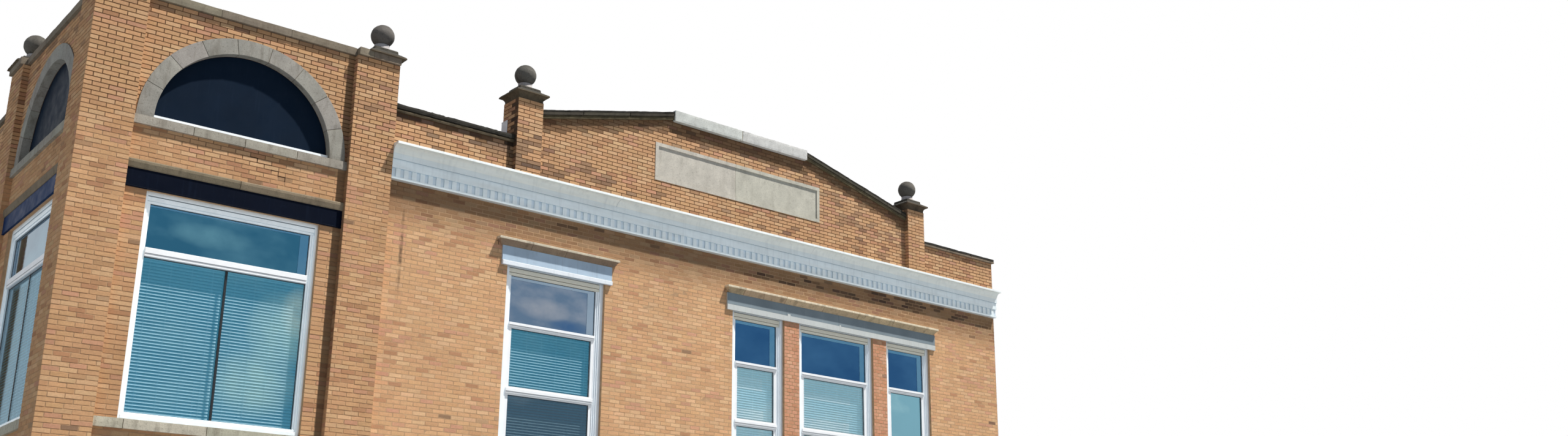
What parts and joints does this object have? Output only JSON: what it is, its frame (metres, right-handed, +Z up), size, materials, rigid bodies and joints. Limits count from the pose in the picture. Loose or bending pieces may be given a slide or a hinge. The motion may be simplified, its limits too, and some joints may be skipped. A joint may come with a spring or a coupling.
{
  "type": "town hall building",
  "caption": "Buff brick two-storey town hall with a corner tower, arched attic windows, a white cornice, a low gable and ball finials.",
  "frame": {"origin": "ground level, in the middle of the 18.8 m by 14.4 m of ground that the walls cover", "axes": "+X along the street front to the right, +Y from the street front to the rear, +Z up"},
  "size_m": [18.932, 14.61, 11.363],
  "materials": {
    "brick": "rough buff face brick",
    "concrete": "plain concrete",
    "roofing": "roofing felt",
    "limestone": "weathered limestone",
    "weathered_stone": "dark weathered stone",
    "navy_board": "dark navy paint",
    "navy_door": "painted",
    "window_white": "satin white",
    "window_glass": "clear",
    "blind": "matte slats",
    "pale_board": "pale blue grey paint",
    "grey_board": "mid grey paint",
    "cornice_white": "white paint on pressed metal"
  },
  "bodies": {
    "root": {"corner_pier": "brick", "tower_front_pier": "brick", "tower_side_pier": "brick", "tower_front_wall": "brick", "tower_side_wall": "brick", "tower_inner_walls": "brick", "front_base_wall": "brick", "front_piers": "brick", "front_floor_band": "brick", "main_front_wall": "brick", "gable_parapet": "brick", "gable_pier_left": "brick", "gable_pier_right": "brick", "side_wall": "brick", "rear_wall": "brick", "party_wall": "brick", "ground_floor": "concrete", "upper_floor": "concrete", "roof_deck": "roofing", "tower_roof": "roofing", "front_arch": "limestone", "side_arch": "limestone", "arch_sills": "limestone", "tower_bands": "limestone", "tower_sills": "limestone", "single_label": "limestone", "triple_label": "limestone", "front_sills": "limestone", "ground_lintels": "limestone", "plain_sills": "limestone", "plain_lintels": "limestone", "name_plaque": "limestone", "tower_coping": "limestone", "gable_top_stone": "limestone", "gable_copings": "weathered_stone", "front_copings": "weathered_stone", "rear_copings": "weathered_stone", "pier_caps": "weathered_stone", "ball_finials": "weathered_stone", "arch_panels": "navy_board", "tower_boards": "navy_board", "entrance_doors": "navy_door", "arch_beads": "window_white", "tower_frames": "window_white", "front_frames": "window_white", "entrance_frame": "window_white", "plain_frames": "window_white", "tower_glass": "window_glass", "front_glass": "window_glass", "entrance_glass": "window_glass", "plain_glass": "window_glass", "tower_blinds": "blind", "front_blinds": "blind", "single_board": "pale_board", "triple_board": "grey_board", "cornice": "cornice_white", "dentils": "cornice_white"}
  },
  "joints": []
}
